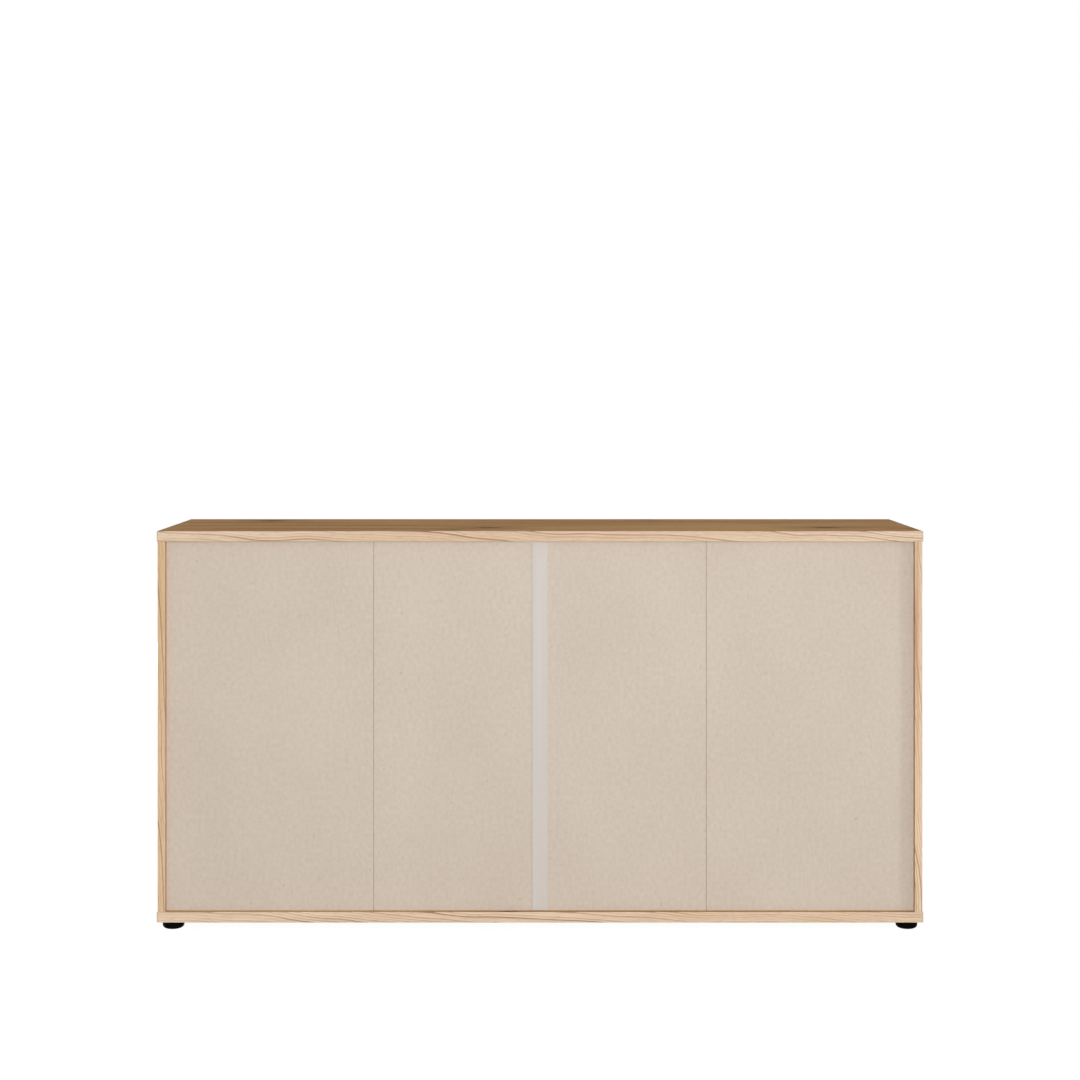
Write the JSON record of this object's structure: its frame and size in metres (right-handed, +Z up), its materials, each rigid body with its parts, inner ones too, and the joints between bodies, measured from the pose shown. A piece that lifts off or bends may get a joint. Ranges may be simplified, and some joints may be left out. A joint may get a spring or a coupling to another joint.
{
  "type": "sideboard",
  "caption": "Wide low wood-decor cabinet on round black feet, with hinged side doors, a middle drawer stack and a folding fibreboard back.",
  "frame": {"origin": "on the floor, under the middle of the whole box, handles included", "axes": "+X to the right seen from the front, along the length; +Y to the back; +Z up"},
  "size_m": [1.6, 0.428, 0.834],
  "materials": {
    "oak_board": "satin melamine oak decor",
    "oak_edge": "satin oak decor edge band",
    "fibreboard": "matt thin fibreboard",
    "joint_plastic": "smooth extruded plastic",
    "fold_tape": "thin adhesive tape",
    "foot_plastic": "black moulded plastic",
    "handle_metal": "matt black powder coat",
    "fitting_steel": "zinc plated",
    "cam_zinc": "die-cast zinc",
    "dowel_beech": "fluted beech",
    "box_board": "pale melamine",
    "bush_nylon": "natural nylon",
    "catch_plastic": "brown moulded plastic"
  },
  "bodies": {
    "carcass": {"top_panel": "oak_board", "bottom_panel": "oak_board", "left_side_panel": "oak_board", "left_divider": "oak_board", "left_shelf": "oak_board", "left_outer_back_leaf": "fibreboard", "left_inner_back_leaf": "fibreboard", "front_left_foot": "foot_plastic", "rear_left_foot": "foot_plastic", "right_side_panel": "oak_board", "right_divider": "oak_board", "right_shelf": "oak_board", "right_outer_back_leaf": "fibreboard", "right_inner_back_leaf": "fibreboard", "front_right_foot": "foot_plastic", "rear_right_foot": "foot_plastic", "edge_bands": "oak_edge", "fold_tapes": "fold_tape", "back_joint_profile": "joint_plastic", "shelf_pins": "fitting_steel", "cam_locks": "cam_zinc", "cam_bolts": "fitting_steel", "wood_dowels": "dowel_beech", "pivot_bushes": "bush_nylon", "door_catches": "catch_plastic", "cabinet_rails": "fitting_steel"},
    "left_door": {"left_door_panel": "oak_board", "left_door_handle": "handle_metal", "left_door_handle_screws": "fitting_steel", "left_door_pivot_pins": "fitting_steel", "left_door_strike_plate": "fitting_steel"},
    "right_door": {"right_door_panel": "oak_board", "right_door_handle": "handle_metal", "right_door_handle_screws": "fitting_steel", "right_door_pivot_pins": "fitting_steel", "right_door_strike_plate": "fitting_steel"},
    "bottom_drawer": {"bottom_drawer_front": "oak_board", "bottom_drawer_sides": "box_board", "bottom_drawer_back": "box_board", "bottom_drawer_base": "fibreboard", "bottom_drawer_handle": "handle_metal", "bottom_drawer_handle_screws": "fitting_steel", "bottom_drawer_rails": "fitting_steel"},
    "middle_drawer": {"middle_drawer_front": "oak_board", "middle_drawer_sides": "box_board", "middle_drawer_back": "box_board", "middle_drawer_base": "fibreboard", "middle_drawer_handle": "handle_metal", "middle_drawer_handle_screws": "fitting_steel", "middle_drawer_rails": "fitting_steel"},
    "top_drawer": {"top_drawer_front": "oak_board", "top_drawer_sides": "box_board", "top_drawer_back": "box_board", "top_drawer_base": "fibreboard", "top_drawer_handle": "handle_metal", "top_drawer_handle_screws": "fitting_steel", "top_drawer_rails": "fitting_steel"},
    "bottom_cages": {"bottom_drawer_ball_cages": "fitting_steel"},
    "middle_cages": {"middle_drawer_ball_cages": "fitting_steel"},
    "top_cages": {"top_drawer_ball_cages": "fitting_steel"}
  },
  "joints": [
    {"name": "left_door_hinge", "type": "hinge", "parent": "carcass", "child": "left_door", "pos_m": [-0.79, -0.176, 0.4255], "axis": [0, 0, 1], "range_deg": [-95, 0]},
    {"name": "right_door_hinge", "type": "hinge", "parent": "carcass", "child": "right_door", "pos_m": [0.79, -0.176, 0.4255], "axis": [0, 0, 1], "range_deg": [0, 95]},
    {"name": "bottom_drawer_slide", "type": "slide", "parent": "carcass", "child": "bottom_drawer", "axis": [0, -1, 0], "range_m": [0, 0.245]},
    {"name": "middle_drawer_slide", "type": "slide", "parent": "carcass", "child": "middle_drawer", "axis": [0, -1, 0], "range_m": [0, 0.245]},
    {"name": "top_drawer_slide", "type": "slide", "parent": "carcass", "child": "top_drawer", "axis": [0, -1, 0], "range_m": [0, 0.245]},
    {"name": "bottom_cage_slide", "type": "slide", "parent": "carcass", "child": "bottom_cages", "axis": [0, -1, 0], "range_m": [0, 0.1225]},
    {"name": "middle_cage_slide", "type": "slide", "parent": "carcass", "child": "middle_cages", "axis": [0, -1, 0], "range_m": [0, 0.1225]},
    {"name": "top_cage_slide", "type": "slide", "parent": "carcass", "child": "top_cages", "axis": [0, -1, 0], "range_m": [0, 0.1225]}
  ],
  "couplings": [
    {"joint": "bottom_cage_slide", "follows": "bottom_drawer_slide", "ratio": 0.5},
    {"joint": "middle_cage_slide", "follows": "middle_drawer_slide", "ratio": 0.5},
    {"joint": "top_cage_slide", "follows": "top_drawer_slide", "ratio": 0.5}
  ]
}
